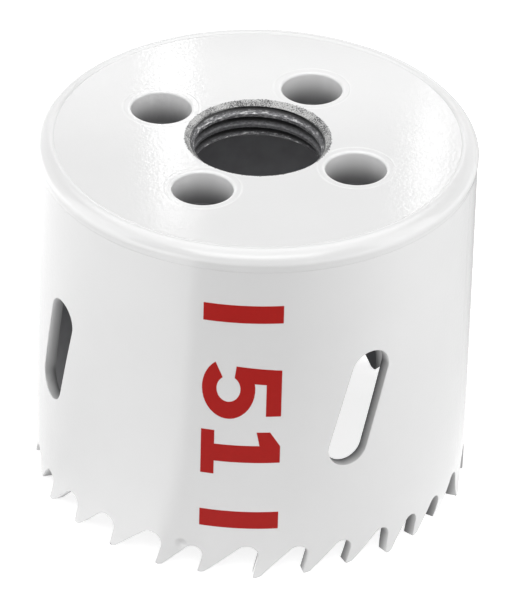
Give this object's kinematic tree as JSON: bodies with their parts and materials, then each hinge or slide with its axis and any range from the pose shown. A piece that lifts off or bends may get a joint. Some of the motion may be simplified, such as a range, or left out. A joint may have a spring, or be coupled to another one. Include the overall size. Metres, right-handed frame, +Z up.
{
  "type": "hole saw",
  "caption": "Cup-shaped hole saw: a toothed, slotted steel ring welded round a thick end plate with a threaded arbor hole and drive pin holes.",
  "frame": {"origin": "on the saw's axis, in the plane of the tooth tips that it stands on", "axes": "+Z up the axis, from the teeth to the end plate; -Y points at the butt weld that closes the ring"},
  "size_m": [0.051, 0.0504, 0.0435],
  "materials": {
    "white_enamel": "glossy white baked enamel on steel, with a fine orange peel",
    "bare_steel": "dark bare steel inside the cup and on the thread",
    "red_print": "red screen-printed ink on the enamel"
  },
  "bodies": {
    "root": {"toothed_band": "white_enamel", "end_plate": "white_enamel", "weld_ring": "white_enamel"}
  },
  "joints": []
}
